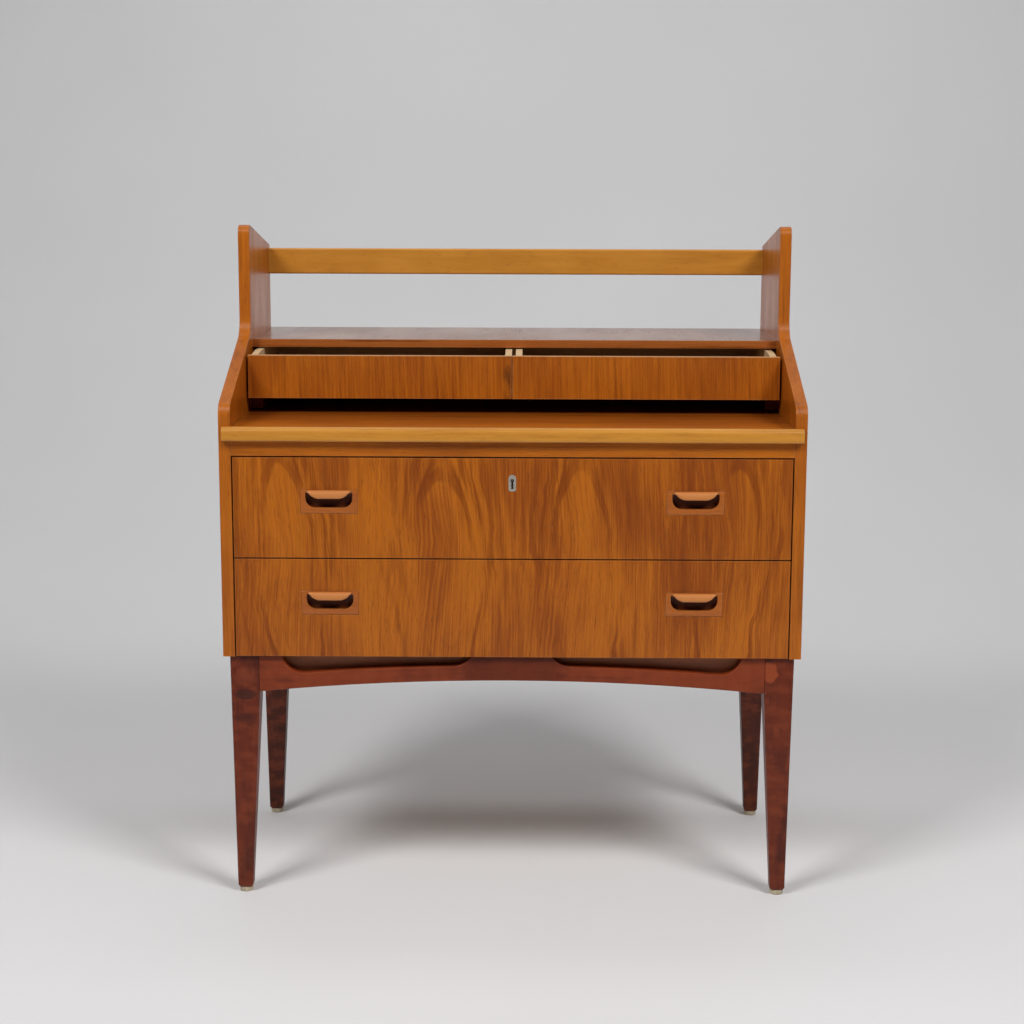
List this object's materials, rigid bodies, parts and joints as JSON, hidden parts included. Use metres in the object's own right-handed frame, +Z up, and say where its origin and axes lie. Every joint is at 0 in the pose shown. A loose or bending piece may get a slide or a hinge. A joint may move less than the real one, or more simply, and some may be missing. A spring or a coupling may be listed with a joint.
{
  "type": "secretary desk",
  "caption": "Freestanding wooden secretary desk with a gallery shelf, letter drawers, a pull-out writing leaf, large drawers and a tapered-leg base.",
  "frame": {"origin": "centre of the desk's bounding box, on the floor", "axes": "+Z up, -Y towards the person who sits at it, +X to that person's right"},
  "size_m": [0.9, 0.514, 1.0479],
  "materials": {
    "teak_veneer": "satin",
    "teak_solid": "satin",
    "stained_beech": "satin",
    "pale_wood": "matte",
    "plywood": "matte",
    "nickel": "satin",
    "steel": "satin",
    "glide_plastic": "matte"
  },
  "bodies": {
    "cabinet": {"left_side_panel": "teak_veneer", "right_side_panel": "teak_veneer", "shelf": "teak_veneer", "top_rail": "teak_solid", "leaf_rail": "teak_solid", "front_left_leg": "stained_beech", "front_right_leg": "stained_beech", "rear_left_leg": "stained_beech", "rear_right_leg": "stained_beech", "front_apron": "stained_beech", "rear_apron": "stained_beech", "left_apron": "stained_beech", "right_apron": "stained_beech", "apron_stiffener": "stained_beech", "drawer_guides": "stained_beech", "leaf_runners": "pale_wood", "centre_runner": "pale_wood", "large_drawer_runners": "pale_wood", "leaf_stop_rail": "pale_wood", "corner_blocks": "pale_wood", "case_bottom": "plywood", "back_panel": "plywood", "dust_board": "plywood", "strike_plate": "steel", "case_screws": "steel", "base_screws": "steel", "strike_plate_screws": "steel", "glides": "glide_plastic"},
    "writing_leaf": {"leaf_board": "teak_veneer", "leaf_lip": "teak_solid", "leaf_stop_pins": "pale_wood"},
    "left_small_drawer": {"left_small_drawer_front": "teak_veneer", "left_small_drawer_outer_side": "pale_wood", "left_small_drawer_inner_side": "pale_wood", "left_small_drawer_back": "pale_wood", "left_small_drawer_bottom": "plywood"},
    "right_small_drawer": {"right_small_drawer_front": "teak_veneer", "right_small_drawer_outer_side": "pale_wood", "right_small_drawer_inner_side": "pale_wood", "right_small_drawer_back": "pale_wood", "right_small_drawer_bottom": "plywood"},
    "upper_drawer": {"upper_drawer_front": "teak_veneer", "upper_drawer_left_handle": "teak_solid", "upper_drawer_right_handle": "teak_solid", "upper_drawer_left_side": "pale_wood", "upper_drawer_right_side": "pale_wood", "upper_drawer_back": "pale_wood", "upper_drawer_bottom": "plywood", "lock_case": "steel", "lock_screws": "steel", "keyhole_escutcheon": "nickel"},
    "lower_drawer": {"lower_drawer_front": "teak_veneer", "lower_drawer_left_handle": "teak_solid", "lower_drawer_right_handle": "teak_solid", "lower_drawer_left_side": "pale_wood", "lower_drawer_right_side": "pale_wood", "lower_drawer_back": "pale_wood", "lower_drawer_bottom": "plywood"},
    "lock_bolt": {"lock_bolt": "steel"}
  },
  "joints": [
    {"name": "writing_leaf_slide", "type": "slide", "parent": "cabinet", "child": "writing_leaf", "axis": [0, -1, 0], "range_m": [0, 0.22]},
    {"name": "left_small_drawer_slide", "type": "slide", "parent": "cabinet", "child": "left_small_drawer", "axis": [0, -1, 0], "range_m": [0, 0.17]},
    {"name": "right_small_drawer_slide", "type": "slide", "parent": "cabinet", "child": "right_small_drawer", "axis": [0, -1, 0], "range_m": [0, 0.17]},
    {"name": "upper_drawer_slide", "type": "slide", "parent": "cabinet", "child": "upper_drawer", "axis": [0, -1, 0], "range_m": [0, 0.32]},
    {"name": "lower_drawer_slide", "type": "slide", "parent": "cabinet", "child": "lower_drawer", "axis": [0, -1, 0], "range_m": [0, 0.32]},
    {"name": "lock_bolt_throw", "type": "slide", "parent": "upper_drawer", "child": "lock_bolt", "axis": [0, 0, 1], "range_m": [0, 0.008]}
  ]
}
